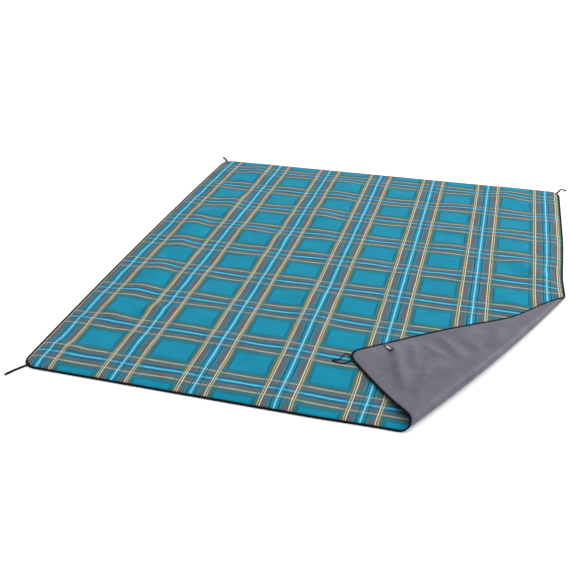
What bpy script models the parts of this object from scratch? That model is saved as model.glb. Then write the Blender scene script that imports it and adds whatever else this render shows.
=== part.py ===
"""Camp blanket, 1.75 m x 2.00 m: a fleece face, a foam layer and a coated backing, bound with tape, with a
cord peg loop at each corner and a label in the seam. Its front right corner is turned back over the top.

Metres, +Z up. The origin is the middle of the blanket's outline, on the ground. +X is its right, +Y its back.
The cloth is cut flat and then folded: each rigid stretch of it hangs on the hinge line before it, so turning
every fold hinge back lays the corner flat again. The fold is a cone, full at the front edge and tight at the
right one, so all its hinge lines fan out from one point, the apex.
"""

from math import acos, asin, atan, cos, pi, radians, sin, tan

import bmesh
import bpy
from mathutils import Matrix, Vector

# The cloth
WIDTH = 1.750
LENGTH = 2.000
CORNER_RADIUS = 0.055
CORNER_STEPS = 10
BACKING_THICKNESS = 0.0006
FOAM_THICKNESS = 0.0030
FLEECE_THICKNESS = 0.0024
CLEARANCE = 0.0003

# The binding tape, folded round the edge of the cloth
TAPE_WIDTH = 0.008
TAPE_THICKNESS = 0.0008
HEM_BACKING = 0.0004
HEM_FLEECE = 0.0013
HEM_EASE = 0.0050

# The turned-back corner, from where it leaves the ground
FOLD_ANGLE = radians(62.5)
FOLD_DEPTH = 0.440
FRONT_ROLL_RADIUS = 0.027
SIDE_ROLL_RADIUS = 0.010
ROLL_HINGES = 4
FLAP_SLOPE = radians(5.5)
CUT_GAP = 0.0002

# Peg loops
CORD_RADIUS = 0.0020
CORD_SIDES = 8
LOOP_LENGTH = 0.075
LOOP_NECK = 0.030
EYE_WIDTH = 0.0085
LOOP_STEPS = 12
LOOP_LEAN = {"front_left": 53.0, "back_left": 50.0, "back_right": 45.0, "front_right": 74.0}

# Seam label
LABEL_LENGTH = 0.050
LABEL_WIDTH = 0.014
LABEL_THICKNESS = 0.0012
LABEL_FROM_CORNER = 0.140

BACKING_TOP = BACKING_THICKNESS
FOAM_BOTTOM = BACKING_TOP + CLEARANCE
FOAM_TOP = FOAM_BOTTOM + FOAM_THICKNESS
FLEECE_BOTTOM = FOAM_TOP + CLEARANCE
CLOTH_HEIGHT = FLEECE_BOTTOM + FLEECE_THICKNESS
HEM_BACKING_BOTTOM = TAPE_THICKNESS + CLEARANCE
HEM_FLEECE_BOTTOM = HEM_BACKING_BOTTOM + HEM_BACKING + CLEARANCE
HEM_FLEECE_TOP = HEM_FLEECE_BOTTOM + HEM_FLEECE
TAPE_UPPER = HEM_FLEECE_TOP + CLEARANCE
HEM_HEIGHT = TAPE_UPPER + TAPE_THICKNESS

# The roll as a cone. TAPER is the sine of its half angle; FAN is the angle between two hinge lines on the
# flat cloth and BEND the turn at each of them.
FRONT_END = -FOLD_DEPTH / tan(FOLD_ANGLE)
SIDE_END = FOLD_DEPTH * tan(FOLD_ANGLE)
TAPER = (FRONT_ROLL_RADIUS - SIDE_ROLL_RADIUS) / (SIDE_END - FRONT_END)
APEX_ALONG = SIDE_END + SIDE_ROLL_RADIUS / TAPER
ROLL_STEP = (pi + FLAP_SLOPE) / ROLL_HINGES
FAN = 2 * atan(TAPER * tan(ROLL_STEP / 2))
BEND = acos(cos(asin(TAPER)) ** 2 * cos(ROLL_STEP) + TAPER ** 2)

FOLD_OUT = Vector((sin(FOLD_ANGLE), -cos(FOLD_ANGLE), 0))
FOLD_ALONG = Vector((cos(FOLD_ANGLE), sin(FOLD_ANGLE), 0))
FRONT_RIGHT = Vector((WIDTH / 2, -LENGTH / 2, 0))
APEX = FRONT_RIGHT - FOLD_DEPTH * FOLD_OUT + APEX_ALONG * FOLD_ALONG
STAGES = [f"fold_strip_{k}" for k in range(1, ROLL_HINGES)] + ["corner_flap"]


def clear_scene():
    for obj in list(bpy.data.objects):
        bpy.data.objects.remove(obj, do_unlink=True)


def make_material(name, colour, roughness):
    material = bpy.data.materials.new(name)
    material.use_nodes = True
    shader = material.node_tree.nodes["Principled BSDF"]
    shader.inputs["Base Color"].default_value = (*colour, 1)
    shader.inputs["Roughness"].default_value = roughness
    shader.inputs["Metallic"].default_value = 0
    material.diffuse_color = (*colour, 1)
    return material


def outline(inset):
    """The blanket's rounded outline, drawn in from its edge, as points running anticlockwise."""
    radius = CORNER_RADIUS - inset
    points = []
    for quarter, (side_x, side_y) in enumerate(((1, 1), (-1, 1), (-1, -1), (1, -1))):
        middle = Vector((side_x * (WIDTH / 2 - CORNER_RADIUS), side_y * (LENGTH / 2 - CORNER_RADIUS)))
        for step in range(CORNER_STEPS + 1):
            angle = pi / 2 * (quarter + step / CORNER_STEPS)
            points.append(middle + radius * Vector((cos(angle), sin(angle))))
    return points


def loft(section, capped):
    """A mesh that follows the outline, from (inset, height) pairs. Capped, it is a panel; open, a ring."""
    mesh = bmesh.new()
    rings = [[mesh.verts.new((p.x, p.y, height)) for p in outline(inset)] for inset, height in section]
    pairs = list(zip(rings, rings[1:]))
    if not capped:
        pairs.append((rings[-1], rings[0]))
    for lower, upper in pairs:
        for k in range(len(lower)):
            nxt = (k + 1) % len(lower)
            mesh.faces.new((lower[k], lower[nxt], upper[nxt], upper[k]))
    if capped:
        mesh.faces.new(rings[0][::-1])
        mesh.faces.new(rings[-1])
    bmesh.ops.recalc_face_normals(mesh, faces=mesh.faces)
    return mesh


def backing_panel():
    slot = TAPE_WIDTH + CLEARANCE
    flat = TAPE_WIDTH + HEM_EASE
    edge = TAPE_THICKNESS + CLEARANCE
    hem_top = HEM_BACKING_BOTTOM + HEM_BACKING
    return loft(((flat, 0), (slot, HEM_BACKING_BOTTOM), (edge, HEM_BACKING_BOTTOM),
                 (edge, hem_top), (slot, hem_top), (flat, BACKING_TOP)), True)


def foam_panel():
    edge = TAPE_WIDTH + HEM_EASE + CLEARANCE
    return loft(((edge, FOAM_BOTTOM), (edge, FOAM_TOP)), True)


def fleece_panel():
    slot = TAPE_WIDTH + CLEARANCE
    flat = TAPE_WIDTH + HEM_EASE
    edge = TAPE_THICKNESS + CLEARANCE
    return loft(((flat, FLEECE_BOTTOM), (slot, HEM_FLEECE_BOTTOM), (edge, HEM_FLEECE_BOTTOM),
                 (edge, HEM_FLEECE_TOP), (slot, HEM_FLEECE_TOP), (flat, CLOTH_HEIGHT)), True)


def binding_tape():
    return loft(((0, 0), (TAPE_WIDTH, 0), (TAPE_WIDTH, TAPE_THICKNESS), (TAPE_THICKNESS, TAPE_THICKNESS),
                 (TAPE_THICKNESS, TAPE_UPPER), (TAPE_WIDTH, TAPE_UPPER), (TAPE_WIDTH, HEM_HEIGHT),
                 (0, HEM_HEIGHT)), False)


def cut(mesh, point, normal):
    """Cuts off what lies on the normal's side of a plane, and closes the cut."""
    everything = mesh.verts[:] + mesh.edges[:] + mesh.faces[:]
    made = bmesh.ops.bisect_plane(mesh, geom=everything, plane_co=point, plane_no=normal, clear_outer=True)
    edges = [e for e in made["geom_cut"] if isinstance(e, bmesh.types.BMEdge)]
    bmesh.ops.edgenet_fill(mesh, edges=edges)
    bmesh.ops.recalc_face_normals(mesh, faces=mesh.faces)


def cut_at_hinge(mesh, side):
    """Ends a piece at the hinge line, mitred so that it may bend there: side 1 is before it and -1 beyond."""
    cut(mesh, (-side * CUT_GAP, 0, 0), Vector((side, 0, tan(BEND / 2))).normalized())


def add_piece(name, mesh, material, parent):
    data = bpy.data.meshes.new(name)
    mesh.to_mesh(data)
    mesh.free()
    data.materials.append(material)
    piece = bpy.data.objects.new(name, data)
    bpy.context.scene.collection.objects.link(piece)
    piece.parent = parent
    return piece


def add_axis(name, parent, location, turn=(0, 0, 0)):
    """An empty on a joint's axis, which is its own Y."""
    axis = bpy.data.objects.new(name, None)
    axis.empty_display_size = 0.05
    bpy.context.scene.collection.objects.link(axis)
    axis.parent = parent
    axis.location = location
    axis.rotation_euler = turn
    return axis


def fold_frame(number):
    """The flat cloth's frame at a hinge line: origin at the apex, +X out to the corner. 0 is the fold's start."""
    turn = FOLD_ANGLE - pi / 2 + (FAN * (number - 0.5) if number else 0)
    return Matrix.Translation(APEX) @ Matrix.Rotation(turn, 4, "Z")


def add_fold_axes():
    """The hinges, one on the next. Each is turned by its place in the fan and then bent up."""
    parent = add_axis("fold_start", None, APEX, (0, 0, FOLD_ANGLE - pi / 2))
    axes = [parent]
    for number, stage in enumerate(STAGES, 1):
        fan = FAN if number > 1 else FAN / 2
        parent = add_axis(f"{stage}_axis", parent, (0, 0, 0), (0, -BEND, fan))
        axes.append(parent)
    return axes


def trim_to_stage(mesh, number):
    """Cuts a flat panel to the stretch between its own hinge line and the next, and leaves it in its own frame."""
    mesh.transform(fold_frame(number).inverted())
    if number:
        cut_at_hinge(mesh, -1)
    if number < ROLL_HINGES:
        step = fold_frame(number).inverted() @ fold_frame(number + 1)
        mesh.transform(step.inverted())
        cut_at_hinge(mesh, 1)
        mesh.transform(step)


def add_layers(materials, axes):
    """Every layer, cut from one flat panel each, and the tape, which also parts at each hinge line."""
    layers = (("backing", backing_panel), ("foam", foam_panel), ("fleece", fleece_panel))
    for number, axis in enumerate(axes):
        stage = STAGES[number - 1] if number else "main"
        for layer, make in layers:
            mesh = make()
            trim_to_stage(mesh, number)
            add_piece(f"{layer}_{stage}", mesh, materials[layer], axis)
        ends = {"_front": 1, "_side": -1} if 0 < number < ROLL_HINGES else {"": 0}
        corner_along = (fold_frame(number).inverted() @ FRONT_RIGHT).y
        for end, side in ends.items():
            mesh = binding_tape()
            trim_to_stage(mesh, number)
            if side:
                cut(mesh, (0, corner_along, 0), (0, side, 0))
            add_piece(f"binding_{stage}{end}", mesh, materials["binding"], axis)


def loop_route():
    """The cord's centre line: out along one side, round the eye and back, with both ends on the hinge axis."""
    neck = CORD_RADIUS + CUT_GAP
    eye = EYE_WIDTH / 2 + CORD_RADIUS
    round_end = LOOP_LENGTH - CORD_RADIUS - eye
    out = [Vector((0, neck, 0)), Vector((LOOP_NECK / 2, neck, 0)), Vector((LOOP_NECK, neck, 0))]
    for step in range(1, LOOP_STEPS + 1):
        share = step / LOOP_STEPS
        swell = share * share * (3 - 2 * share)
        out.append(Vector((LOOP_NECK + (round_end - LOOP_NECK) * share, neck + (eye - neck) * swell, 0)))
    turn = []
    for step in range(1, LOOP_STEPS):
        angle = pi / 2 - pi * step / LOOP_STEPS
        turn.append(Vector((round_end + eye * cos(angle), eye * sin(angle), 0)))
    back = [Vector((p.x, -p.y, 0)) for p in reversed(out)]
    return out + turn + back


def cord_mesh(route):
    """A tube along the route, with ends rounded about its first and last points."""
    mesh = bmesh.new()
    rings = []
    for k, point in enumerate(route):
        ahead = (route[min(k + 1, len(route) - 1)] - route[max(k - 1, 0)]).normalized()
        across = Vector((0, 0, 1)).cross(ahead)
        stations = [(0, 1)]
        if k == 0:
            stations = [(-sin(a), cos(a)) for a in (radians(75), radians(45), radians(20), 0)]
        if k == len(route) - 1:
            stations = [(sin(a), cos(a)) for a in (0, radians(20), radians(45), radians(75))]
        for shift, size in stations:
            middle = point + shift * CORD_RADIUS * ahead
            ring = []
            for side in range(CORD_SIDES):
                angle = 2 * pi * (side + 0.5) / CORD_SIDES
                spoke = cos(angle) * across + sin(angle) * Vector((0, 0, 1))
                ring.append(mesh.verts.new(middle + size * CORD_RADIUS * spoke))
            rings.append(ring)
    for near, far in zip(rings, rings[1:]):
        for side in range(CORD_SIDES):
            nxt = (side + 1) % CORD_SIDES
            mesh.faces.new((near[side], near[nxt], far[nxt], far[side]))
    mesh.faces.new(rings[0][::-1])
    mesh.faces.new(rings[-1])
    bmesh.ops.recalc_face_normals(mesh, faces=mesh.faces)
    return mesh


def corner_hem_point(side_x, side_y, lean):
    """Where the hem's outer face meets a line at that angle from the X axis, out of the corner's round."""
    middle = Vector((side_x * (WIDTH / 2 - CORNER_RADIUS), side_y * (LENGTH / 2 - CORNER_RADIUS), 0))
    return middle + CORNER_RADIUS * Vector((side_x * cos(lean), side_y * sin(lean), 0))


def add_loops(cord, flap_axis):
    """One cord loop at each corner, hinged where it leaves the hem. The front right one is on the turned-back
    corner, and lies level there over the fleece."""
    corners = {"front_left": (-1, -1), "back_left": (-1, 1), "back_right": (1, 1), "front_right": (1, -1)}
    stand_off = CORD_RADIUS + CLEARANCE
    flat_flap = fold_frame(ROLL_HINGES)
    for name, (side_x, side_y) in corners.items():
        lean = radians(LOOP_LEAN[name])
        outward = Vector((side_x * cos(lean), side_y * sin(lean), 0))
        place = corner_hem_point(side_x, side_y, lean) + stand_off * outward
        place.z = HEM_HEIGHT / 2
        parent = None
        droop = 0
        if name == "front_right":
            parent = flap_axis
            place = flat_flap.inverted() @ place
            outward = flat_flap.inverted().to_3x3() @ outward
            bpy.context.view_layer.update()
            droop = asin((flap_axis.matrix_world.to_3x3() @ outward).z)
        heading = outward.to_2d().angle_signed(Vector((1, 0)))
        axis = add_axis(f"{name}_loop_axis", parent, place, (0, -droop, heading))
        loop = add_piece(f"{name}_loop", cord_mesh(loop_route()), cord, axis)
        loop.data.shade_smooth()


def add_label(tape, flap_axis):
    """The label lies on the backing, square to the right edge, and is caught in the seam of the binding. Its
    axis is on its outer face, so that it may also be turned over the tape to point outwards."""
    inner_edge = WIDTH / 2 - TAPE_WIDTH
    outer_face = -CLEARANCE - LABEL_THICKNESS
    flat_flap = fold_frame(ROLL_HINGES)
    place = Vector((inner_edge - 2 * CLEARANCE, -LENGTH / 2 + LABEL_FROM_CORNER, outer_face))
    axis = add_axis("side_label_axis", flap_axis, flat_flap.inverted() @ place,
                    (0, 0, pi - flat_flap.to_euler().z))
    mesh = bmesh.new()
    bmesh.ops.create_cube(mesh, size=1)
    mesh.transform(Matrix.Diagonal((LABEL_LENGTH, LABEL_WIDTH, LABEL_THICKNESS, 1)))
    mesh.transform(Matrix.Translation((LABEL_LENGTH / 2, 0, LABEL_THICKNESS / 2)))
    add_piece("side_label", mesh, tape, axis)


clear_scene()
made = {
    "fleece": make_material("fleece", (0.004, 0.29, 0.48), 0.95),
    "foam": make_material("foam", (0.75, 0.75, 0.72), 0.9),
    "backing": make_material("backing", (0.16, 0.15, 0.18), 0.6),
    "binding": make_material("binding", (0.01, 0.01, 0.012), 0.8),
    "cord": make_material("cord", (0.012, 0.012, 0.014), 0.85),
    "label": make_material("label", (0.015, 0.015, 0.018), 0.7),
}
fold_axes = add_fold_axes()
add_layers(made, fold_axes)
add_loops(made["cord"], fold_axes[-1])
add_label(made["label"], fold_axes[-1])
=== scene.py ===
from math import asin, atan, cos, pi, radians, sin, sqrt, tan

import bmesh
import bpy
import numpy as np
from mathutils import Matrix, Vector


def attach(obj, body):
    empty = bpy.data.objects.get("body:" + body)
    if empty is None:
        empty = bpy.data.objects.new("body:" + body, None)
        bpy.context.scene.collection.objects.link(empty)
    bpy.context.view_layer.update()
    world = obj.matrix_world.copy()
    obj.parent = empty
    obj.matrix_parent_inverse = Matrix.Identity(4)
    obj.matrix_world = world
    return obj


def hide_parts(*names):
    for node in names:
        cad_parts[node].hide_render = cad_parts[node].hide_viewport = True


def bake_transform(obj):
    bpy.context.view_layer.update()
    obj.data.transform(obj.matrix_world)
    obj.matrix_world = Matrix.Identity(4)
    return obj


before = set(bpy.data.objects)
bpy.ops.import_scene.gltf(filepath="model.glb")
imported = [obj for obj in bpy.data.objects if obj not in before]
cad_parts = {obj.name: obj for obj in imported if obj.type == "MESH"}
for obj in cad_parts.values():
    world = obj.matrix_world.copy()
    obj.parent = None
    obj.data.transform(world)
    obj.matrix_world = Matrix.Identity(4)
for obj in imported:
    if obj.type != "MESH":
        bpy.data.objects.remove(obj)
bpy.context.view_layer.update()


# ---------------------------------------------------------------------------------------------------------
# The studio: a camera at standing height before the front edge, a plain pale floor, and a white tent that
# is brightest beyond the blanket's back right corner, with two broad lamps, so that there is hardly a
# shadow.

def linear(code):
    """An sRGB hex colour as linear red, green, blue."""
    parts = [int(code[k:k + 2], 16) / 255 for k in (0, 2, 4)]
    return tuple(v / 12.92 if v <= 0.04045 else ((v + 0.055) / 1.055) ** 2.4 for v in parts)


def add_node(tree, kind, links=(), **settings):
    """A shader node with its settings; a setting named like an input sets it, and links feed inputs."""
    node = tree.nodes.new(kind)
    for name, value in settings.items():
        if hasattr(node, name):
            setattr(node, name, value)
    for name, value in settings.items():
        if not hasattr(node, name):
            key = int(name[1:]) if name[0] == "i" and name[1:].isdigit() else name.replace("_", " ").title()
            node.inputs[key].default_value = value
    for key, source in dict(links).items():
        tree.links.new(source, node.inputs[key])
    return node


def new_material(name):
    """A material with an empty Principled surface, and its node tree."""
    material = bpy.data.materials.new(name)
    material.use_nodes = True
    return material, material.node_tree, material.node_tree.nodes["Principled BSDF"]


CAMERA_PLACE = Vector((0.526, -2.7197, 1.4521))
CAMERA_TURN = radians(-15.946)
CAMERA_DOWN = radians(29.449)
CAMERA_ROLL = radians(-0.338)

level_ahead = Vector((sin(CAMERA_TURN), cos(CAMERA_TURN), 0))
ahead = cos(CAMERA_DOWN) * level_ahead - Vector((0, 0, sin(CAMERA_DOWN)))
right = Vector((cos(CAMERA_TURN), -sin(CAMERA_TURN), 0))
upward = right.cross(ahead)
camera_x = cos(CAMERA_ROLL) * right + sin(CAMERA_ROLL) * upward
camera_y = -sin(CAMERA_ROLL) * right + cos(CAMERA_ROLL) * upward
lens = bpy.data.cameras.new("camera")
lens.sensor_width = 36
lens.lens = 47.86
lens.clip_end = 60
camera = bpy.data.objects.new("camera", lens)
camera_axes = Matrix((camera_x, camera_y, -ahead)).transposed().to_4x4()
camera.matrix_world = Matrix.Translation(CAMERA_PLACE) @ camera_axes
bpy.context.scene.collection.objects.link(camera)
bpy.context.scene.camera = camera
bpy.context.scene.view_settings.view_transform = "Standard"

world = bpy.data.worlds.new("studio")
world.use_nodes = True
backdrop = world.node_tree.nodes["Background"]
backdrop.inputs["Color"].default_value = (1, 1, 1, 1)
skyward = add_node(world.node_tree, "ShaderNodeTexCoord")
lean = add_node(world.node_tree, "ShaderNodeVectorMath", {0: skyward.outputs["Generated"]},
                operation="DOT_PRODUCT", i1=(0.62, 0.42, 0.66))
glow = add_node(world.node_tree, "ShaderNodeMapRange", {0: lean.outputs["Value"]},
                i1=-0.8, i2=1.0, i3=0.06, i4=1.66)
world.node_tree.links.new(glow.outputs[0], backdrop.inputs["Strength"])
bpy.context.scene.world = world

# Each lamp: its name, its place, its side in metres and its power in watts. Both face the blanket's middle.
LAMPS = (("overhead", (0.3, 1.2, 3.2), 3.0, 12), ("window", (3.0, 1.3, 1.8), 1.6, 34))
for name, place, size, power in LAMPS:
    lamp = bpy.data.lights.new(name, "AREA")
    lamp.size = size
    lamp.energy = power
    holder = bpy.data.objects.new(name, lamp)
    holder.location = place
    holder.rotation_euler = (-Vector(place)).to_track_quat("-Z", "Y").to_euler()
    bpy.context.scene.collection.objects.link(holder)

painted_floor, tree, surface = new_material("painted_floor")
tint = add_node(tree, "ShaderNodeTexNoise", scale=3.0, detail=2.0)
shade = add_node(tree, "ShaderNodeMix", {"Factor": tint.outputs["Fac"]}, data_type="RGBA",
                 i6=(0.95, 0.95, 0.95, 1), i7=(0.97, 0.97, 0.97, 1))
tree.links.new(shade.outputs[2], surface.inputs["Base Color"])
surface.inputs["Roughness"].default_value = 0.9
surface.inputs["Specular IOR Level"].default_value = 0.1
floor_mesh = bpy.data.meshes.new("floor")
floor_mesh.from_pydata([(-14, -14, 0), (14, -14, 0), (14, 14, 0), (-14, 14, 0)], [], [(0, 1, 2, 3)])
floor_mesh.materials.append(painted_floor)
floor_object = bpy.data.objects.new("floor", floor_mesh)
floor_object.location.z = -0.0008
bpy.context.scene.collection.objects.link(floor_object)


# ---------------------------------------------------------------------------------------------------------
# The backing: coated plain-weave polyester, the side that lies on the ground. It is cut as one panel and
# sewn into the edge binding; every layer is cut and laid in this same way.

WIDTH, LENGTH, CORNER_RADIUS = 1.750, 2.000, 0.055
CLOTH_HEIGHT = 0.0066

# The front right corner is turned back over a cone-shaped fold. Lines that fan out from its apex stay
# straight.
FOLD_ANGLE, FOLD_DEPTH = radians(62.5), 0.440
FRONT_ROLL_RADIUS, SIDE_ROLL_RADIUS = 0.027, 0.010
HINGES, FLAP_SLOPE = 4, radians(5.5)
FRONT_END, SIDE_END = -FOLD_DEPTH / tan(FOLD_ANGLE), FOLD_DEPTH * tan(FOLD_ANGLE)
TAPER = (FRONT_ROLL_RADIUS - SIDE_ROLL_RADIUS) / (SIDE_END - FRONT_END)
APEX_ALONG = SIDE_END + SIDE_ROLL_RADIUS / TAPER
ROLL_TURN = pi + FLAP_SLOPE
FAN = 2 * atan(TAPER * tan(ROLL_TURN / HINGES / 2))
FOLD_OUT = np.array((sin(FOLD_ANGLE), -cos(FOLD_ANGLE)))
FOLD_ALONG = np.array((cos(FOLD_ANGLE), sin(FOLD_ANGLE)))
FOLD_ORIGIN = np.array((WIDTH / 2, -LENGTH / 2)) - FOLD_DEPTH * FOLD_OUT

# Soft buckles in the cloth: the two ends of each one's crest, its width and its height.
BUCKLES = (
    ((-0.63, 0.93), (-0.66, 0.76), 0.050, 0.009), ((0.64, 0.93), (0.60, 0.76), 0.055, 0.008),
    ((-0.16, 0.76), (-0.13, 0.52), 0.080, 0.006), ((-0.62, 0.50), (-0.66, 0.34), 0.060, 0.009),
    ((-0.22, 0.46), (-0.17, 0.38), 0.060, 0.007), ((-0.72, 0.28), (-0.68, -0.10), 0.050, 0.010),
    ((-0.68, -0.24), (-0.72, -0.62), 0.055, 0.009), ((0.40, 0.26), (0.42, 0.14), 0.060, 0.006),
    ((0.83, 0.02), (0.70, 0.14), 0.050, 0.013), ((-0.05, -0.30), (0.05, -0.62), 0.090, 0.004),
    ((0.30, -0.30), (0.22, -0.44), 0.060, 0.005), ((-0.64, -0.57), (-0.54, -0.55), 0.028, 0.007),
    ((-0.80, -0.69), (-0.72, -0.70), 0.026, 0.006), ((-0.82, -0.86), (-0.74, -0.87), 0.028, 0.007),
    ((0.36, 0.66), (0.55, 0.64), 0.040, 0.006), ((0.33, 0.40), (0.50, 0.44), 0.040, 0.005),
    ((0.40, -0.02), (0.62, 0.02), 0.040, 0.006), ((-0.44, 0.16), (-0.30, 0.12), 0.045, 0.006),
)
# The same on the turned-back corner: soft folds in the slack coated cloth, and small creases between them.
FLAP_BUCKLES = (
    ((0.83, -0.84), (0.63, -0.93), 0.016, 0.0100), ((0.70, -0.80), (0.62, -0.87), 0.013, 0.0060),
    ((0.665, -0.852), (0.635, -0.828), 0.010, 0.0040), ((0.80, -0.74), (0.74, -0.73), 0.012, 0.0060),
    ((0.81, -0.67), (0.70, -0.68), 0.016, 0.0080), ((0.77, -0.60), (0.66, -0.62), 0.018, 0.0072),
    ((0.80, -0.47), (0.69, -0.54), 0.020, 0.0064), ((0.60, -0.90), (0.54, -0.92), 0.014, 0.0050),
    ((0.82, -0.78), (0.72, -0.83), 0.014, 0.0054),
)


def ease(share):
    share = np.clip(share, 0, 1)
    return share * share * (3 - 2 * share)


def fan_place(x, y):
    """A flat point's distance from the fold's apex, and its angle beyond the fold's start, in strips."""
    out = (x - FOLD_ORIGIN[0]) * FOLD_OUT[0] + (y - FOLD_ORIGIN[1]) * FOLD_OUT[1]
    along = (x - FOLD_ORIGIN[0]) * FOLD_ALONG[0] + (y - FOLD_ORIGIN[1]) * FOLD_ALONG[1]
    return np.hypot(out, APEX_ALONG - along), np.arctan2(out, APEX_ALONG - along) / FAN


def roll_frame(turn):
    """The fold's straight line at this turn round the roll, the way round, and the way to the fleece."""
    slope = asin(TAPER)
    down = np.array((0, -sin(slope), -cos(slope)))
    across = np.array((1.0, 0, 0))
    swing = np.cos(turn)[..., None] * down + np.sin(turn)[..., None] * across
    line = cos(slope) * np.array((0, -cos(slope), sin(slope))) + sin(slope) * swing
    way = -np.sin(turn)[..., None] * down + np.cos(turn)[..., None] * across
    return line, way, np.cross(line, way)


def crest_height(x, y, crests):
    height = np.zeros_like(x)
    for (x0, y0), (x1, y1), width, crest in crests:
        ahead_x, ahead_y = x1 - x0, y1 - y0
        share = ((x - x0) * ahead_x + (y - y0) * ahead_y) / (ahead_x ** 2 + ahead_y ** 2)
        near = np.clip(share, 0, 1)
        gap = np.hypot(x - x0 - near * ahead_x, y - y0 - near * ahead_y)
        height += crest * np.exp(-(gap / width) ** 2)
    return height


def ripple_height(x, y):
    ripple = np.sin(7.1 * x + 2.3 * np.sin(3.7 * y + 0.4)) * np.sin(5.3 * y + 1.9 * np.sin(4.3 * x + 1.1))
    small = np.sin(19 * x + 2.1 * np.sin(9 * y)) * np.sin(23 * y + 1.7 * np.sin(11 * x + 0.6))
    return 0.0022 * (1 + ripple) + 0.0024 * (1 + small)


# How far the turned-back corner is from a true cone: the roll's front end sinks and slides inwards, the
# roll bows out in its middle, and the corner spreads as it relaxes on to the fleece.
ROLL_SLUMP, SLUMP_SHIFT = 0.30, 0.006
ROLL_BOW, FRONT_PULL, SIDE_PULL = 0.01615, 0.0100, 0.0094
CORNER_SPREAD, CORNER_PULL, EDGE_SWELL, TIP_PULL = 0.022, 0.0099, 0.026, 0.012
SAG_REACH, SIDE_SAG_REACH, SAG_SHARE = 0.10, 0.045, 0.97
LEFT_EDGE_BOW = 0.014


def lay(flat):
    """Where points of the flat cloth (across, along, height over the backing's ground side) come to lie."""
    x, y, height = flat.T
    distance, strips = fan_place(x, y)
    turn = np.clip(strips / HINGES, 0, 1) * ROLL_TURN
    beyond = np.maximum(strips - HINGES, 0) * FAN
    past = beyond * distance
    spread = beyond * (1 + CORNER_SPREAD * ease(past / 0.25))
    line, way, inward = roll_frame(turn)
    place = distance[:, None] * (np.cos(spread)[:, None] * line + np.sin(spread)[:, None] * way)
    along = (x - FOLD_ORIGIN[0]) * FOLD_ALONG[0] + (y - FOLD_ORIGIN[1]) * FOLD_ALONG[1]
    share = np.clip((along - FRONT_END) / (SIDE_END - FRONT_END), -0.1, 1.1)
    slump = ease((0.42 - share) / 0.46)
    place[:, 2] *= 1 - ROLL_SLUMP * slump
    place[:, 0] -= SLUMP_SHIFT * slump * np.sin(turn)
    place += inward * height[:, None]
    place[:, 1] += APEX_ALONG - CORNER_PULL * ease(past / 0.3)
    out = (x - FOLD_ORIGIN[0]) * FOLD_OUT[0] + (y - FOLD_ORIGIN[1]) * FOLD_OUT[1]
    level = strips < 0
    place[level] = np.stack([out, along, height], -1)[level]

    # The roll bows outwards between its ends, and the turned corner sinks on to the fleece.
    bow = ROLL_BOW * 4 * share * (1 - share) - FRONT_PULL * (1 - share) - SIDE_PULL * share
    place[:, 0] += bow * np.where(level, ease(1 + out / 0.25), ease(1 - past / 0.30))
    place[:, 0] += EDGE_SWELL * np.exp(-((share - 0.75) / 0.15) ** 2) * ease(past / 0.12)
    place[:, 0] -= TIP_PULL * ease((past - 0.28) / 0.14)
    rest = 2 * CLOTH_HEIGHT + 0.0008
    excess = np.maximum(place[:, 2] + height - rest, 0)
    reach = SAG_REACH - (SAG_REACH - SIDE_SAG_REACH) * ease((share - 0.45) / 0.3)
    sunk = SAG_SHARE * excess * (1 - np.exp(-(past / reach) ** 1.5))
    place[:, 2] -= np.where(past > 0, sunk, 0)

    # The rest of the cloth buckles a little where it isn't weighed down.
    free = np.where(level, ease(-out / 0.10 - 0.3), 0)
    under = ease((0.52 - np.hypot(x - 0.45, (y + 0.66) / 1.1)) / 0.2)
    inset = np.minimum(WIDTH / 2 - np.abs(x), LENGTH / 2 - np.abs(y))
    waves = crest_height(x, y, BUCKLES) + ripple_height(x, y) * ease(inset / 0.05)
    place[:, 2] += waves * free * (1 - under)
    slack = ease((0.0011 - height) / 0.0005) * ease((inset - 0.008) / 0.03) * ease(past / 0.04)
    place[:, 2] += crest_height(x, y, FLAP_BUCKLES) * slack
    laid = np.empty_like(place)
    laid[:, :2] = FOLD_ORIGIN + place[:, 1:2] * FOLD_ALONG + place[:, 0:1] * FOLD_OUT
    laid[:, 2] = place[:, 2]
    laid[:, 0] -= LEFT_EDGE_BOW * ease((-x - 0.25) / 0.62) * np.clip(1 - y * y, 0, 1)
    return laid


def outline(inset):
    """The cut edge drawn in by inset, anticlockwise."""
    points = []
    for quarter, (side_x, side_y) in enumerate(((1, 1), (-1, 1), (-1, -1), (1, -1))):
        for step in range(13):
            angle = pi / 2 * (quarter + step / 12)
            points.append((side_x * (WIDTH / 2 - CORNER_RADIUS) + (CORNER_RADIUS - inset) * cos(angle),
                           side_y * (LENGTH / 2 - CORNER_RADIUS) + (CORNER_RADIUS - inset) * sin(angle)))
    return points


def drawn_in(points, inset):
    """The same places along the edge, at another inset."""
    core = np.clip(points, (-WIDTH / 2 + CORNER_RADIUS, -LENGTH / 2 + CORNER_RADIUS),
                   (WIDTH / 2 - CORNER_RADIUS, LENGTH / 2 - CORNER_RADIUS))
    way = points - core
    return core + way / np.linalg.norm(way, axis=1)[:, None] * (CORNER_RADIUS - inset)


def cut_across(mesh, geometry, point, normal):
    return bmesh.ops.bisect_plane(mesh, geom=geometry, plane_co=point, plane_no=normal, dist=1e-6)["geom"]


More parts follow.
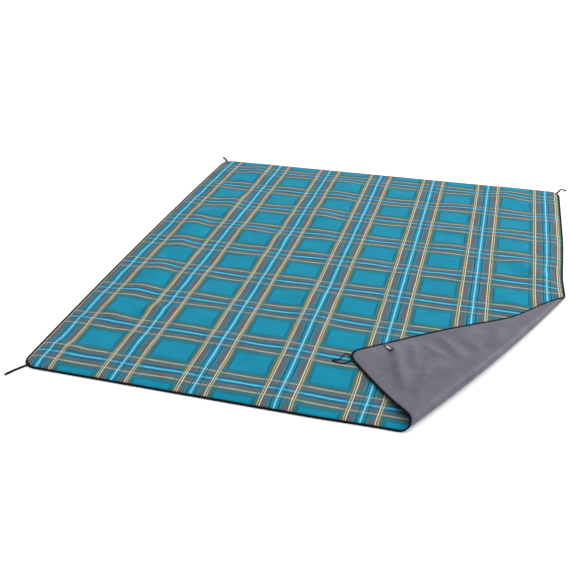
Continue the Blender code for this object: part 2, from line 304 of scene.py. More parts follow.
def cut_fan(mesh):
    """Cuts the cloth along the fold's straight lines, eight to a strip, so that it can turn smoothly."""
    centres = np.array([face.calc_center_median() for face in mesh.faces])
    _, strips = fan_place(centres[:, 0], centres[:, 1])
    faces = [face for face, strip in zip(mesh.faces[:], strips) if -2.5 < strip < 8]
    geometry = list({part for face in faces for part in (*face.verts, *face.edges)}) + faces
    apex = FOLD_ORIGIN + APEX_ALONG * FOLD_ALONG
    for strip in [-0.6, -0.25] + [k / 8 for k in range(8 * HINGES + 1)] + [4.2, 4.5, 5.0, 5.6]:
        normal = cos(strip * FAN) * FOLD_OUT + sin(strip * FAN) * FOLD_ALONG
        geometry = cut_across(mesh, geometry, (*apex, 0), (*normal, 0))


def panel(rim, cell):
    """A closed flat layer: a gridded panel above and below, joined by a rim of (inset, height) steps."""
    mesh = bmesh.new()
    mesh.faces.new([mesh.verts.new((x, y, 0)) for x, y in outline(rim[0][0])])
    for axis, side in ((0, WIDTH), (1, LENGTH)):
        count = round(side / cell)
        for k in range(1, count):
            point = [0, 0, 0]
            point[axis] = side * (k / count - 0.5)
            cut_across(mesh, mesh.verts[:] + mesh.edges[:] + mesh.faces[:], point, [1 - axis, axis, 0])
    mesh.verts.index_update()
    points = np.array([vertex.co for vertex in mesh.verts])[:, :2]
    faces = [[vertex.index for vertex in face.verts] for face in mesh.faces]
    if mesh.faces[:][0].normal.z < 0:
        faces = [face[::-1] for face in faces]
    edge = np.array([vertex.index for vertex in mesh.verts if vertex.is_boundary])
    mesh.free()
    edge = edge[np.argsort(np.arctan2(points[edge, 1], points[edge, 0]))]
    layers = [np.c_[points, np.full(len(points), height)] for height in (rim[0][1], rim[-1][1])]
    loops = [edge]
    for inset, height in rim[1:-1]:
        loops.append(np.arange(len(edge)) + sum(len(layer) for layer in layers))
        layers.append(np.c_[drawn_in(points[edge], inset), np.full(len(edge), height)])
    loops.append(edge + len(points))
    quads = faces + [[v + len(points) for v in face[::-1]] for face in faces]
    for near, far in zip(loops, loops[1:]):
        for k in range(len(edge)):
            nxt = (k + 1) % len(edge)
            quads.append([near[k], far[k], far[nxt], near[nxt]])
    return np.concatenate(layers), quads


STAGES = ("blanket", "fold_strip_1", "fold_strip_2", "fold_strip_3", "corner_flap")
PIECE_ENDINGS = ("", "_roll_1", "_roll_2", "_corner")


def bend_with_fold(piece):
    """Bakes the piece's placement into its mesh."""
    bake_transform(piece)


def lay_pieces(name, flat, faces, slots, materials, loose=None):
    """Lays a flat layer and makes its four pieces, which part half way between the fold lines. Loose bits,
    such as stitches, go whole with the piece they lie on."""
    uncut = bpy.data.meshes.new(name)
    uncut.from_pydata(flat.tolist(), [], faces)
    uncut.polygons.foreach_set("material_index", slots)
    mesh = bmesh.new()
    mesh.from_mesh(uncut)
    bpy.data.meshes.remove(uncut)
    cut_fan(mesh)
    whole = bpy.data.meshes.new(name)
    mesh.to_mesh(whole)
    mesh.free()
    flat = np.array([vertex.co for vertex in whole.vertices], float)
    faces = [list(face.vertices) for face in whole.polygons]
    slots = [face.material_index for face in whole.polygons]
    centres = np.array([face.center for face in whole.polygons])
    group = np.clip(np.floor(fan_place(centres[:, 0], centres[:, 1])[1]), 0, HINGES - 1).astype(int)
    laid = lay(flat)
    whole.vertices.foreach_set("co", laid.ravel().astype(np.float32))
    whole.update()
    normals = np.array([vertex.vector for vertex in whole.vertex_normals])
    bpy.data.meshes.remove(whole)
    if loose is not None:
        bit_flat, bit_faces, bit_slot, bit_size = loose
        bit_centres = bit_flat.reshape(-1, bit_size, 3).mean(1)
        bit_group = np.clip(np.floor(fan_place(bit_centres[:, 0], bit_centres[:, 1])[1]), 0, HINGES - 1)
        bit_laid = lay(bit_flat)
        per_bit = len(bit_faces) // len(bit_centres)
    pieces = []
    for number, ending in enumerate(PIECE_ENDINGS):
        chosen = np.flatnonzero(group == number)
        used = sorted({v for k in chosen for v in faces[k]})
        index = {v: k for k, v in enumerate(used)}
        places, marks = laid[used].tolist(), flat[used, :2].tolist()
        shapes = [[index[v] for v in faces[k]] for k in chosen]
        kinds = [slots[k] for k in chosen]
        body = bmesh.new()
        made = [body.verts.new(place) for place in places]
        for shape, kind in zip(shapes, kinds):
            face = body.faces.new([made[v] for v in shape])
            face.material_index = kind
        body_count = len(body.faces)
        open_edges = [edge for edge in body.edges if edge.is_boundary]
        if open_edges:
            bmesh.ops.holes_fill(body, edges=open_edges, sides=0)
        data = bpy.data.meshes.new(name + ending)
        body.to_mesh(data)
        body.free()
        if loose is not None:
            keep = np.flatnonzero(bit_group == number)
            places = [vertex.co[:] for vertex in data.vertices]
            shapes = [list(face.vertices) for face in data.polygons]
            kinds = [face.material_index for face in data.polygons]
            for bit in keep:
                first = len(places)
                places += bit_laid[bit * bit_size:(bit + 1) * bit_size].tolist()
                marks += bit_flat[bit * bit_size:(bit + 1) * bit_size, :2].tolist()
                for face in bit_faces[bit * per_bit:(bit + 1) * per_bit]:
                    shapes.append([v - bit * bit_size + first for v in face])
                    kinds.append(bit_slot)
            bpy.data.meshes.remove(data)
            data = bpy.data.meshes.new(name + ending)
            data.from_pydata(places, [], shapes)
            data.polygons.foreach_set("material_index", kinds)
        data.polygons.foreach_set("use_smooth", [True] * len(data.polygons))
        data.update()
        own = np.array([vertex.vector for vertex in data.vertex_normals])
        own[:len(used)] = normals[used]
        split = []
        for face in data.polygons:
            cap = body_count <= face.index and face.material_index != (loose[2] if loose else -1)
            split += [tuple(face.normal) if cap else tuple(own[v]) for v in face.vertices]
        data.normals_split_custom_set(split)
        cloth = data.uv_layers.new(name="cloth")
        marks = np.array(marks)
        corners = np.array([loop.vertex_index for loop in data.loops])
        cloth.data.foreach_set("uv", marks[corners].ravel().astype(np.float32))
        for material in materials:
            data.materials.append(material)
        piece = bpy.data.objects.new(name + ending, data)
        bpy.context.scene.collection.objects.link(piece)
        bend_with_fold(piece)
        pieces.append(piece)
    return pieces


def declare_sheets(pieces, layer):
    """Measures each piece's flat size, along and across the fold, and its area, and hides the layer's parts
    that the pieces replace.
    """
    for number, piece in enumerate(pieces):
        marks = np.array([loop.uv[:] for loop in piece.data.uv_layers["cloth"].data])
        if number == 0:
            size = (WIDTH, LENGTH)
            area = WIDTH * LENGTH - 0.5 * FOLD_DEPTH ** 2 / (sin(FOLD_ANGLE) * cos(FOLD_ANGLE))
        else:
            out, along = (marks - FOLD_ORIGIN) @ FOLD_OUT, (marks - FOLD_ORIGIN) @ FOLD_ALONG
            size = (float(np.ptp(out)), float(np.ptp(along)))
            area = 0
            for face in piece.data.polygons:
                ring = marks[list(face.loop_indices)]
                following = np.roll(ring, -1, axis=0)
                area += 0.25 * abs(np.sum(ring[:, 0] * following[:, 1] - ring[:, 1] * following[:, 0]))
            area = min(float(area), size[0] * size[1])
        stages = ("main", "fold_strip_1") if number == 0 else (STAGES[number + 1],)
        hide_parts(*(f"{layer}_{stage}" for stage in stages))


# Coated polyester, woven plain from 0.3 mm yarn and calendered: a dull grey with a faint satin bloom,
# finely creased. Its weave is drawn at 1.2 mm, four times too coarse, so that it shows.
WEAVE_PITCH = 0.0012
BACKING_GREY, BACKING_SHADE = linear("585666"), linear("454352")

coated_polyester, tree, surface = new_material("coated_polyester")
cloth_uv = add_node(tree, "ShaderNodeUVMap", uv_map="cloth")
split_uv = add_node(tree, "ShaderNodeSeparateXYZ", {0: cloth_uv.outputs[0]})
warp = add_node(tree, "ShaderNodeMath", {0: split_uv.outputs[0]}, operation="MULTIPLY",
                i1=2 * pi / WEAVE_PITCH)
weft = add_node(tree, "ShaderNodeMath", {0: split_uv.outputs[1]}, operation="MULTIPLY",
                i1=2 * pi / WEAVE_PITCH)
warp = add_node(tree, "ShaderNodeMath", {0: warp.outputs[0]}, operation="SINE")
weft = add_node(tree, "ShaderNodeMath", {0: weft.outputs[0]}, operation="SINE")
weave = add_node(tree, "ShaderNodeMath", {0: warp.outputs[0], 1: weft.outputs[0]}, operation="MULTIPLY")
bloom = add_node(tree, "ShaderNodeTexNoise", {"Vector": cloth_uv.outputs[0]}, scale=9.0, detail=4.0)
shade = add_node(tree, "ShaderNodeValToRGB", {0: bloom.outputs["Fac"]})
shade.color_ramp.elements[0].position, shade.color_ramp.elements[0].color = 0.30, (*BACKING_SHADE, 1)
shade.color_ramp.elements[1].position, shade.color_ramp.elements[1].color = 0.68, (*BACKING_GREY, 1)
yarns = add_node(tree, "ShaderNodeMapRange", {0: weave.outputs[0]}, i1=-1.0, i2=1.0, i3=0.93, i4=1.0)
colour = add_node(tree, "ShaderNodeMix", {6: shade.outputs[0], 7: yarns.outputs[0]}, data_type="RGBA",
                  blend_type="MULTIPLY", i0=1.0)
tree.links.new(colour.outputs[2], surface.inputs["Base Color"])
creases = add_node(tree, "ShaderNodeTexNoise", {"Vector": cloth_uv.outputs[0]}, scale=14.0, detail=4.0,
                   roughness=0.5)
crease_bump = add_node(tree, "ShaderNodeBump", {"Height": creases.outputs["Fac"]}, strength=0.6,
                       distance=0.012)
weave_bump = add_node(tree, "ShaderNodeBump",
                      {"Height": weave.outputs[0], "Normal": crease_bump.outputs[0]},
                      strength=0.25, distance=0.0002)
tree.links.new(weave_bump.outputs[0], surface.inputs["Normal"])
surface.inputs["Roughness"].default_value = 0.45
surface.inputs["Specular IOR Level"].default_value = 0.45

backing_rim = ((0.026, 0.0006), (0.0130, 0.0006), (0.0090, 0.0015), (0.0075, 0.0015), (0.0030, 0.0015),
               (0.0026, 0.0013), (0.0030, 0.0011), (0.0075, 0.0011), (0.0090, 0.0009), (0.0130, 0.0),
               (0.026, 0.0))
flat, faces = panel(backing_rim, 0.011)
backing = lay_pieces("coated_backing", flat, faces, [0] * len(faces), [coated_polyester])
declare_sheets(backing, "backing")


# ---------------------------------------------------------------------------------------------------------
# The foam: a thin open-cell sheet between the two faces, cut short of the hem. Only its bulk shows, as the
# padded look of the edge.

# Open-cell foam: matt off-white, pitted all over with small pores.
open_cell_foam, tree, surface = new_material("open_cell_foam")
cells = add_node(tree, "ShaderNodeTexVoronoi", scale=600.0)
shade = add_node(tree, "ShaderNodeValToRGB", {0: cells.outputs["Distance"]})
shade.color_ramp.elements[0].color = (*linear("B9B7AC"), 1)
shade.color_ramp.elements[1].color = (*linear("E3E1D8"), 1)
tree.links.new(shade.outputs[0], surface.inputs["Base Color"])
pores = add_node(tree, "ShaderNodeBump", {"Height": cells.outputs["Distance"]}, strength=0.6,
                 distance=0.0004)
tree.links.new(pores.outputs[0], surface.inputs["Normal"])
surface.inputs["Roughness"].default_value = 0.95

foam_rim = ((0.018, 0.0037), (0.0146, 0.0034), (0.0136, 0.0027), (0.0136, 0.0019), (0.0146, 0.0012),
            (0.018, 0.0011))
flat, faces = panel(foam_rim, 0.035)
foam = lay_pieces("foam_interlayer", flat, faces, [0] * len(faces), [open_cell_foam])
declare_sheets(foam, "foam")


# ---------------------------------------------------------------------------------------------------------
# The binding: a black woven tape, folded round all the edges of the layers and lockstitched through them
# close to its inner edge. The fleece is caught in it, so it is made before the fleece.

# Woven tape: almost black, with slanting ribs that catch a little light.
RIB_PITCH = 0.0016

woven_tape, tree, surface = new_material("woven_tape")
cloth_uv = add_node(tree, "ShaderNodeUVMap", uv_map="cloth")
ribs = add_node(tree, "ShaderNodeTexWave", {"Vector": cloth_uv.outputs[0]}, bands_direction="DIAGONAL",
                scale=2 * pi / RIB_PITCH / 20, distortion=1.5, detail=2.0)
wear = add_node(tree, "ShaderNodeTexNoise", {"Vector": cloth_uv.outputs[0]}, scale=40.0, detail=3.0)
mixed = add_node(tree, "ShaderNodeMath", {0: ribs.outputs["Fac"], 1: wear.outputs["Fac"]},
                 operation="MULTIPLY")
shade = add_node(tree, "ShaderNodeValToRGB", {0: mixed.outputs[0]})
shade.color_ramp.elements[0].color = (*linear("050506"), 1)
shade.color_ramp.elements[1].color = (*linear("121215"), 1)
tree.links.new(shade.outputs[0], surface.inputs["Base Color"])
rib_bump = add_node(tree, "ShaderNodeBump", {"Height": ribs.outputs["Fac"]}, strength=0.5, distance=0.0003)
tree.links.new(rib_bump.outputs[0], surface.inputs["Normal"])
surface.inputs["Roughness"].default_value = 0.88
surface.inputs["Specular IOR Level"].default_value = 0.12

# Spun thread: black like the tape, but a shade brighter, so that single stitches can be told apart.
spun_thread, tree, surface = new_material("spun_thread")
twist = add_node(tree, "ShaderNodeTexNoise", scale=900.0, detail=2.0)
shade = add_node(tree, "ShaderNodeValToRGB", {0: twist.outputs["Fac"]})
shade.color_ramp.elements[0].color = (*linear("08080A"), 1)
shade.color_ramp.elements[1].color = (*linear("1A1A1D"), 1)
tree.links.new(shade.outputs[0], surface.inputs["Base Color"])
surface.inputs["Roughness"].default_value = 0.6

# The folded tape cut across, as (inset, height): round the outside from the ground face, and back inside.
TAPE_SECTION = ((0.0077, 0.0), (0.0032, 0.0), (0.0014, 0.00015), (0.0004, 0.0007), (0.0, 0.0016),
                (0.0, 0.0026), (0.0004, 0.0035), (0.0014, 0.00405), (0.0032, 0.0042), (0.0077, 0.0042),
                (0.0080, 0.0040), (0.0080, 0.0036), (0.0077, 0.0034), (0.0032, 0.0034), (0.0018, 0.0033),
                (0.0011, 0.0028), (0.0011, 0.0014), (0.0018, 0.0009), (0.0032, 0.0008), (0.0077, 0.0008),
                (0.0080, 0.0006), (0.0080, 0.0002))
TAPE_STEP = 0.010
STITCH_LENGTH, STITCH_PITCH, STITCH_INSET, THREAD_RADIUS = 0.0030, 0.0038, 0.0061, 0.00028


def edge_stations(spacing):
    """Points round the very edge, about this far apart."""
    corner = np.array(outline(0.0))
    ring = np.vstack([corner, corner[:1]])
    lengths = np.linalg.norm(np.diff(ring, axis=0), axis=1)
    travelled = np.concatenate([[0], np.cumsum(lengths)])
    count = round(travelled[-1] / spacing)
    stations = np.linspace(0, travelled[-1], count, endpoint=False)
    points = np.stack([np.interp(stations, travelled, ring[:, axis]) for axis in (0, 1)], -1)
    return drawn_in(points, 0.0), stations


stations, travelled = edge_stations(TAPE_STEP)
pucker = 0.00022 * np.sin(travelled / 0.0065) + 0.00018 * np.sin(travelled / 0.0173 + 1.3)
flat = np.concatenate([np.c_[drawn_in(stations, inset + (pucker if 0.006 < inset else 0 * pucker)[:, None]),
                             np.full(len(stations), height)] for inset, height in TAPE_SECTION])
count, turns = len(stations), len(TAPE_SECTION)
faces = [[a * count + k, a * count + (k + 1) % count, (a + 1) % turns * count + (k + 1) % count,
          (a + 1) % turns * count + k] for a in range(turns) for k in range(count)]

# One stitch is a short thread that dips at both ends. Both faces have a row.
middles, _ = edge_stations(STITCH_PITCH)
ways = np.roll(middles, -1, axis=0) - middles
ways /= np.linalg.norm(ways, axis=1)[:, None]
stitch_flat, stitch_faces = [], []
for top in (True, False):
    for middle, way in zip(drawn_in(middles, STITCH_INSET), ways):
        sideways = np.array((way[1], -way[0]))
        level, lift = (0.0042, 1) if top else (0.0, -1)
        first = len(stitch_flat)
        for share, size, raised in ((-0.5, 0.5, -0.6), (-0.3, 1.0, 0.1), (0.3, 1.0, 0.1), (0.5, 0.5, -0.6)):
            for corner in range(5):
                angle = 2 * pi * corner / 5
                spot = middle + way * share * STITCH_LENGTH + sideways * cos(angle) * size * THREAD_RADIUS
                stitch_flat.append((*spot, level + lift * (raised + sin(angle) * size) * THREAD_RADIUS))
        for ring in range(3):
            for corner in range(5):
                nxt = (corner + 1) % 5
                quad = [first + 5 * ring + corner, first + 5 * ring + nxt, first + 5 * ring + 5 + nxt,
                        first + 5 * ring + 5 + corner]
                stitch_faces.append(quad if top else quad[::-1])
        ends = [[first + k for k in range(5)][::-1], [first + 15 + k for k in range(5)]]
        stitch_faces += ends if top else [end[::-1] for end in ends]
stitches = (np.array(stitch_flat), stitch_faces, 1, 20)
binding = lay_pieces("binding_tape", flat, faces, [0] * len(faces), [woven_tape, spun_thread], stitches)
for number, piece in enumerate(binding):
    if number == 0:
        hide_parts("binding_main", "binding_fold_strip_1_front", "binding_fold_strip_1_side")
    elif number < HINGES - 1:
        strip = f"binding_fold_strip_{number + 1}"
        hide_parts(f"{strip}_front", f"{strip}_side")
    else:
        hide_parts("binding_corner_flap")


# ---------------------------------------------------------------------------------------------------------
# The fleece: a brushed polyester knit, dyed teal and printed with a plaid that repeats every 270 mm across
# and 222 mm along. Its pile hides the base cloth and scatters light softly.

TEAL = linear("0A809C")
WARP_PITCH, WARP_FIRST = 0.2702, -0.8168
WEFT_PITCH, WEFT_FIRST = 0.2220, 0.8719
# Each stripe's outer edge, in metres from the middle of its band, its colour and how far it covers a
# crossing.
WARP_STRIPES = ((0.0018, "80CCE4", 1.0), (0.0034, "3FA2C4", 0.75), (0.0122, "1E7E9A", 0.4),
                (0.0128, "1C6480", 0.5), (0.0160, "083A52", 0.72), (0.0172, "2A6A80", 0.5),
                (0.0228, "307A8C", 0.35), (0.0300, "4E6068", 0.30), (0.0405, "5E5A60", 0.32),
                (0.0438, "505456", 0.5), (0.0472, "CFCAB8", 0.97), (0.0511, "50544C", 0.6),
                (0.0548, "B8A56C", 0.92), (0.0648, "4E6458", 0.40), (0.0745, "0C667E", 0.35))
WEFT_STRIPES = ((0.0030, "55B8DA", 1.0), (0.0078, "1C7894", 1.0), (0.0150, "16586E", 1.0),
                (0.0285, "566066", 1.0), (0.0345, "3C6068", 1.0), (0.0416, "A0987F", 1.0),
                (0.0560, "34666C", 1.0), (0.0660, "127288", 1.0))

# Brushed fleece: matt and soft, with blurred stripe edges that sway with the knit, and a mottled pile.
brushed_fleece, tree, surface = new_material("brushed_fleece")
cloth_uv = add_node(tree, "ShaderNodeUVMap", uv_map="cloth")
fuzz = add_node(tree, "ShaderNodeTexNoise", {"Vector": cloth_uv.outputs[0]}, scale=420.0, detail=2.0)
stray = add_node(tree, "ShaderNodeVectorMath", {0: fuzz.outputs["Color"]}, operation="SUBTRACT",
                 i1=(0.5, 0.5, 0.5))
stray = add_node(tree, "ShaderNodeVectorMath", {0: stray.outputs[0]}, operation="SCALE", i3=0.0016)
knit = add_node(tree, "ShaderNodeTexNoise", {"Vector": cloth_uv.outputs[0]}, scale=11.0, detail=2.0)
sway = add_node(tree, "ShaderNodeVectorMath", {0: knit.outputs["Color"]}, operation="SUBTRACT",
                i1=(0.5, 0.5, 0.5))
sway = add_node(tree, "ShaderNodeVectorMath", {0: sway.outputs[0]}, operation="SCALE", i3=0.004)
swayed = add_node(tree, "ShaderNodeVectorMath", {0: cloth_uv.outputs[0], 1: sway.outputs[0]},
                  operation="ADD")
shaggy = add_node(tree, "ShaderNodeVectorMath", {0: swayed.outputs[0], 1: stray.outputs[0]},
                  operation="ADD")
split_uv = add_node(tree, "ShaderNodeSeparateXYZ", {0: shaggy.outputs[0]})


def stripe_band(source, pitch, first, stripes):
    """Distance from the nearest band's middle, its stripe colour, its cover, and where the band is."""
    shifted = add_node(tree, "ShaderNodeMath", {0: source}, operation="SUBTRACT", i1=first)
    turned = add_node(tree, "ShaderNodeMath", {0: shifted.outputs[0]}, operation="PINGPONG", i1=pitch / 2)
    share = add_node(tree, "ShaderNodeMath", {0: turned.outputs[0]}, operation="DIVIDE", i1=pitch / 2)
    ramp = add_node(tree, "ShaderNodeValToRGB", {0: share.outputs[0]})
    steps = ramp.color_ramp
    soft = 0.0004 / (pitch / 2)
    while len(steps.elements) > 1:
        steps.elements.remove(steps.elements[-1])
    steps.elements[0].position, steps.elements[0].color = 0.0, (*linear(stripes[0][1]), stripes[0][2])
    for (edge, code, cover), following in zip(stripes, stripes[1:] + ((0, None, 0),)):
        edge /= pitch / 2
        before = steps.elements.new(edge - soft)
        before.color = (*linear(code), cover)
        after = steps.elements.new(edge + soft)
        after.color = (*linear(following[1]), following[2]) if following[1] else (*TEAL, 0)
    band = add_node(tree, "ShaderNodeMath", {0: turned.outputs[0]}, operation="LESS_THAN",
                    i1=stripes[-1][0])
    return ramp, band


warp, in_warp = stripe_band(split_uv.outputs[0], WARP_PITCH, WARP_FIRST, WARP_STRIPES)
weft, in_weft = stripe_band(split_uv.outputs[1], WEFT_PITCH, WEFT_FIRST, WEFT_STRIPES)
open_ground = add_node(tree, "ShaderNodeMath", {1: in_weft.outputs[0]}, operation="SUBTRACT", i0=1.0)
warp_cover = add_node(tree, "ShaderNodeMath", {0: warp.outputs["Alpha"], 1: open_ground.outputs[0]},
                      operation="MAXIMUM")
warp_cover = add_node(tree, "ShaderNodeMath", {0: warp_cover.outputs[0], 1: in_warp.outputs[0]},
                      operation="MULTIPLY")
plaid = add_node(tree, "ShaderNodeMix", {0: warp_cover.outputs[0], 6: weft.outputs[0], 7: warp.outputs[0]},
                 data_type="RGBA")

# The print follows a twill: fine diagonals, drawn 8 mm apart, four times too coarse, so that they show.
# They are faint on the ground and strongest where two bands cross.
TWILL_PITCH = 0.0110
slant = add_node(tree, "ShaderNodeMath", {0: split_uv.outputs[0], 1: split_uv.outputs[1]}, operation="ADD")
slant = add_node(tree, "ShaderNodeMath", {0: slant.outputs[0]}, operation="MULTIPLY",
                 i1=2 * pi / TWILL_PITCH)
slant = add_node(tree, "ShaderNodeMath", {0: slant.outputs[0]}, operation="SINE")
bands = add_node(tree, "ShaderNodeMath", {0: in_warp.outputs[0], 1: in_weft.outputs[0]}, operation="ADD")
depth = add_node(tree, "ShaderNodeMath", {0: bands.outputs[0]}, operation="MULTIPLY_ADD", i1=0.15, i2=0.02)
twill = add_node(tree, "ShaderNodeMath", {0: slant.outputs[0], 1: depth.outputs[0]}, operation="MULTIPLY")
pile = add_node(tree, "ShaderNodeTexNoise", {"Vector": cloth_uv.outputs[0]}, scale=330.0, detail=4.0,
                roughness=0.65)
brushing = add_node(tree, "ShaderNodeTexNoise", {"Vector": cloth_uv.outputs[0]}, scale=16.0, detail=4.0)
pile_shade = add_node(tree, "ShaderNodeMapRange", {0: pile.outputs["Fac"]},
                      i1=0.3, i2=0.7, i3=0.84, i4=1.12)
brush_shade = add_node(tree, "ShaderNodeMapRange", {0: brushing.outputs["Fac"]},
                       i1=0.3, i2=0.7, i3=0.93, i4=1.06)
tone = add_node(tree, "ShaderNodeMath", {0: pile_shade.outputs[0], 1: brush_shade.outputs[0]},
                operation="MULTIPLY")
tone = add_node(tree, "ShaderNodeMath", {0: tone.outputs[0], 1: twill.outputs[0]}, operation="ADD")
colour = add_node(tree, "ShaderNodeVectorMath", {0: plaid.outputs[2], 3: tone.outputs[0]},
                  operation="SCALE")
tree.links.new(colour.outputs[0], surface.inputs["Base Color"])
tuft = add_node(tree, "ShaderNodeBump", {"Height": pile.outputs["Fac"]}, strength=0.7, distance=0.0016)
tree.links.new(tuft.outputs[0], surface.inputs["Normal"])
surface.inputs["Roughness"].default_value = 0.95
surface.inputs["Specular IOR Level"].default_value = 0.1
surface.inputs["Sheen Weight"].default_value = 0.04
surface.inputs["Sheen Roughness"].default_value = 0.5

fleece_rim = ((0.030, 0.0066), (0.0230, 0.00655), (0.0180, 0.0063), (0.0145, 0.0058), (0.0120, 0.0051),
              (0.0100, 0.0043), (0.0084, 0.0034), (0.0075, 0.0030), (0.0030, 0.0030), (0.0025, 0.0025),
              (0.0030, 0.0021), (0.0075, 0.0021), (0.0100, 0.0026), (0.0135, 0.0042), (0.030, 0.0042))
flat, faces = panel(fleece_rim, 0.0125)
fleece = lay_pieces("plaid_fleece", flat, faces, [0] * len(faces), [brushed_fleece])
declare_sheets(fleece, "fleece")


# ---------------------------------------------------------------------------------------------------------
# The peg loops: a doubled length of 4 mm black braided cord at each corner, with both ends sewn into the
# binding's seam.

# Braided cord: black and dull, its strands crossing in a fine relief.
braided_cord, tree, surface = new_material("braided_cord")
cord_uv = add_node(tree, "ShaderNodeUVMap", uv_map="cord")
strands = add_node(tree, "ShaderNodeTexWave", {"Vector": cord_uv.outputs[0]}, bands_direction="DIAGONAL",
                   scale=30.0, distortion=0.5)
shade = add_node(tree, "ShaderNodeValToRGB", {0: strands.outputs["Fac"]})
shade.color_ramp.elements[0].color = (*linear("040405"), 1)
shade.color_ramp.elements[1].color = (*linear("101013"), 1)
tree.links.new(shade.outputs[0], surface.inputs["Base Color"])
surface.inputs["Roughness"].default_value = 0.8
surface.inputs["Specular IOR Level"].default_value = 0.15

CORD_RADIUS, LOOP_LENGTH, ARCH_SPAN = 0.0020, 0.075, 0.068


def smooth_route(points, count):
    """A smooth line through the points, with this many steps of equal length."""
    points = np.array(points, float)
    padded = np.vstack([2 * points[0] - points[1], points, 2 * points[-1] - points[-2]])
    fine = []
    for k in range(1, len(padded) - 2):
        a, b, c, d = padded[k - 1:k + 3]
        for t in np.linspace(0, 1, 24, endpoint=False):
            fine.append(0.5 * ((2 * b) + (c - a) * t + (2 * a - 5 * b + 4 * c - d) * t ** 2
                               + (3 * b - a - 3 * c + d) * t ** 3))
    fine = np.array(fine + [padded[-2]])
    lengths = np.concatenate([[0], np.cumsum(np.linalg.norm(np.diff(fine, axis=0), axis=1))])
    marks = np.linspace(0, lengths[-1], count)
    return np.stack([np.interp(marks, lengths, fine[:, axis]) for axis in range(3)], -1), lengths[-1]


def braid(name, route):
    """A cord along the route, its surface raised in crossing strands."""
    sides, rings = 16, len(route)
    places, marks, faces = [], [], []
    travelled = 0
    frame_up = Vector((0, 0, 1))
    for k, point in enumerate(route):
        if k:
            travelled += np.linalg.norm(point - route[k - 1])
        way = Vector(route[min(k + 1, rings - 1)] - route[max(k - 1, 0)]).normalized()
        side = way.cross(frame_up).normalized()
        frame_up = side.cross(way).normalized()
        for j in range(sides):
            angle = 2 * pi * j / sides
            strand = abs(sin(4 * angle + travelled / 0.00085)) * abs(sin(4 * angle - travelled / 0.00085))
            radius = CORD_RADIUS * (0.93 + 0.12 * sqrt(strand))
            places.append(Vector(point) + radius * (cos(angle) * side + sin(angle) * frame_up))
            marks.append((travelled, j / sides * 0.01))
    for k in range(rings - 1):
        for j in range(sides):
            nxt = (j + 1) % sides
            faces.append([k * sides + j, k * sides + nxt, (k + 1) * sides + nxt, (k + 1) * sides + j])
    faces.append(list(range(sides))[::-1])
    faces.append([(rings - 1) * sides + j for j in range(sides)])
    data = bpy.data.meshes.new(name)
    data.from_pydata(places, [], faces)
    data.update()
    data.polygons.foreach_set("use_smooth", [True] * (len(faces) - 2) + [False] * 2)
    layer = data.uv_layers.new(name="cord")
    for loop in data.loops:
        layer.data[loop.index].uv = marks[loop.vertex_index]
    data.materials.append(braided_cord)
    piece = bpy.data.objects.new(name, data)
    bpy.context.scene.collection.objects.link(piece)
    return piece


def pulled_shape(eye, arch):
    """A loop pulled almost shut, as (way out, sideways, height), arched off the ground by this much."""
    half = []
    for out, across in ((-0.0018, 0.0021), (0.010, 0.0021), (0.025, 0.0021), (0.045, eye),
                        (0.060, eye + 0.0006), (0.0685, eye), (0.0722, eye * 0.6)):
        half.append((out, across, arch * sin(pi * min(max(out, 0) / ARCH_SPAN, 1)) ** 2))
    return half + [(0.0730, 0, half[-1][2])] + [(out, -across, lift) for out, across, lift in half[::-1]]


# The turned-back corner's own loop stands up in an arch on one side and lies on the fleece on the other.
ARCHED_SHAPE = ((-0.0018, -0.0021, 0), (0.004, -0.003, 0.007), (0.011, -0.005, 0.015),
                (0.019, -0.006, 0.015), (0.031, -0.004, 0.005), (0.042, 0, -0.002),
                (0.056, -0.003, -0.0035), (0.062, -0.001, -0.0035), (0.053, 0.010, -0.0035),
                (0.040, 0.018, -0.0035), (0.024, 0.020, -0.0035), (0.009, 0.014, -0.003),
                (0.003, 0.006, -0.002), (-0.0018, 0.0021, 0))
corner_tip = (0.83516, -0.99787, 0.0021)
# Each loop: where it leaves the hem, its way out, its shape and its sideways lean.
LOOPS = {
    "front_left": ((-0.85448, -0.99076, 0.0021), (-0.60182, -0.79864, 0), pulled_shape(0.0024, 0.0), 0.008),
    "back_left": ((-0.85683, 0.98889, 0.0021), (-0.64279, 0.76604, 0), pulled_shape(0.0025, 0.006), -0.004),
    "back_right": ((0.86052, 0.98552, 0.0021), (0.70711, 0.70711, 0), pulled_shape(0.0026, 0.015), 0.006),
    "front_right": (lay(np.array([corner_tip]))[0], (-0.92715, -0.37469, 0), ARCHED_SHAPE, 0.0),
}
for name, (hinge, way, shape, lean) in LOOPS.items():
    hinge, way = np.array(hinge), np.array(way)
    side = np.array((-way[1], way[0], 0))
    points = []
    for out, across, lift in shape:
        share = max(out, 0) / LOOP_LENGTH
        points.append(hinge + way * out + side * (across + lean * share * share) + np.array((0, 0, lift)))
    route, length = smooth_route(points, 300)
    loop = braid(f"{name}_peg_cord", route)
    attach(loop, f"{name}_loop")
    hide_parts(f"{name}_loop")


# ---------------------------------------------------------------------------------------------------------
# The side label: a short tab of woven satin, caught in the binding's seam on the backing. A plain pale bar
# is woven into its middle.

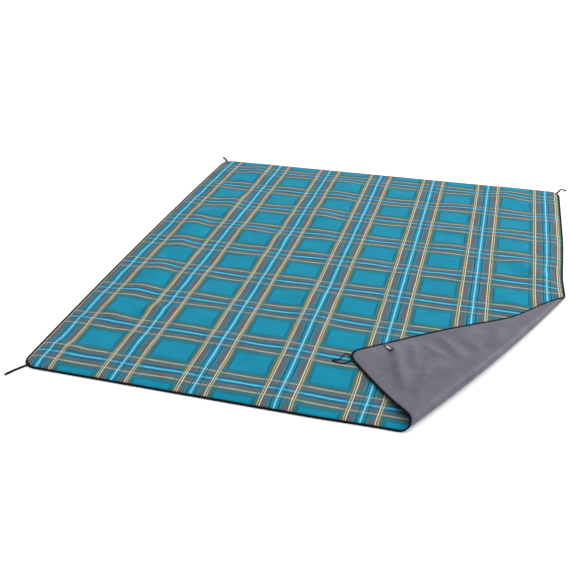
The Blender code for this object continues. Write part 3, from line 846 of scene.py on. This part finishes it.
# Woven satin: a smooth near-black ground with fine cross picks, and the bar in off-white.
woven_satin, tree, surface = new_material("woven_satin")
label_uv = add_node(tree, "ShaderNodeUVMap", uv_map="label")
split_uv = add_node(tree, "ShaderNodeSeparateXYZ", {0: label_uv.outputs[0]})
inside = []
for output, middle, half in ((0, 0.027, 0.0135), (1, 0.007, 0.0021)):
    gap = add_node(tree, "ShaderNodeMath", {0: split_uv.outputs[output]}, operation="SUBTRACT", i1=middle)
    gap = add_node(tree, "ShaderNodeMath", {0: gap.outputs[0]}, operation="ABSOLUTE")
    inside.append(add_node(tree, "ShaderNodeMath", {0: gap.outputs[0]}, operation="LESS_THAN", i1=half))
bar = add_node(tree, "ShaderNodeMath", {0: inside[0].outputs[0], 1: inside[1].outputs[0]},
               operation="MULTIPLY")
picks = add_node(tree, "ShaderNodeTexWave", {"Vector": label_uv.outputs[0]}, bands_direction="X",
                 scale=2 * pi / 0.0008 / 20, distortion=0.3)
ground = add_node(tree, "ShaderNodeValToRGB", {0: picks.outputs["Fac"]})
ground.color_ramp.elements[0].color = (*linear("131318"), 1)
ground.color_ramp.elements[1].color = (*linear("26262D"), 1)
colour = add_node(tree, "ShaderNodeMix", {0: bar.outputs[0], 6: ground.outputs[0]}, data_type="RGBA",
                  i7=(*linear("D9DADF"), 1))
tree.links.new(colour.outputs[2], surface.inputs["Base Color"])
pick_bump = add_node(tree, "ShaderNodeBump", {"Height": picks.outputs["Fac"]}, strength=0.3,
                     distance=0.0002)
tree.links.new(pick_bump.outputs[0], surface.inputs["Normal"])
surface.inputs["Roughness"].default_value = 0.5

LABEL_LENGTH, LABEL_WIDTH, LABEL_THICKNESS, LABEL_FROM_CORNER = 0.050, 0.014, 0.0011, 0.140
LABEL_RIM = ((0.0, 0.18), (0.05, 0.0), (0.95, 0.0), (1.0, 0.18), (1.0, 0.82), (0.95, 1.0), (0.05, 1.0),
             (0.0, 0.82))

# It is laid out flat with the cloth and goes over the fold with it. It curls up a little at its free end.
flat, marks, faces = [], [], []
steps = 30
for k in range(steps + 1):
    share = k / steps
    x = WIDTH / 2 - 0.0082 - share * LABEL_LENGTH
    curl = 0.0030 * share ** 2 + 0.0003 * sin(9 * share)
    for across, thick in LABEL_RIM:
        y = -LENGTH / 2 + LABEL_FROM_CORNER + (across - 0.5) * LABEL_WIDTH
        flat.append((x, y, -0.0002 - curl - thick * LABEL_THICKNESS))
        marks.append((share * LABEL_LENGTH, across * LABEL_WIDTH))
ring = len(LABEL_RIM)
for k in range(steps):
    for j in range(ring):
        nxt = (j + 1) % ring
        faces.append([k * ring + j, k * ring + nxt, (k + 1) * ring + nxt, (k + 1) * ring + j])
faces.append(list(range(ring))[::-1])
faces.append([steps * ring + j for j in range(ring)])
data = bpy.data.meshes.new("seam_label")
data.from_pydata(lay(np.array(flat)).tolist(), [], faces)
body = bmesh.new()
body.from_mesh(data)
bmesh.ops.recalc_face_normals(body, faces=body.faces)
body.to_mesh(data)
body.free()
data.polygons.foreach_set("use_smooth", [True] * len(data.polygons))
data.set_sharp_from_angle(angle=radians(50))
layer = data.uv_layers.new(name="label")
for loop in data.loops:
    layer.data[loop.index].uv = marks[loop.vertex_index]
data.materials.append(woven_satin)
label = bpy.data.objects.new("seam_label", data)
bpy.context.scene.collection.objects.link(label)
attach(label, "side_label")
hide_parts("side_label")
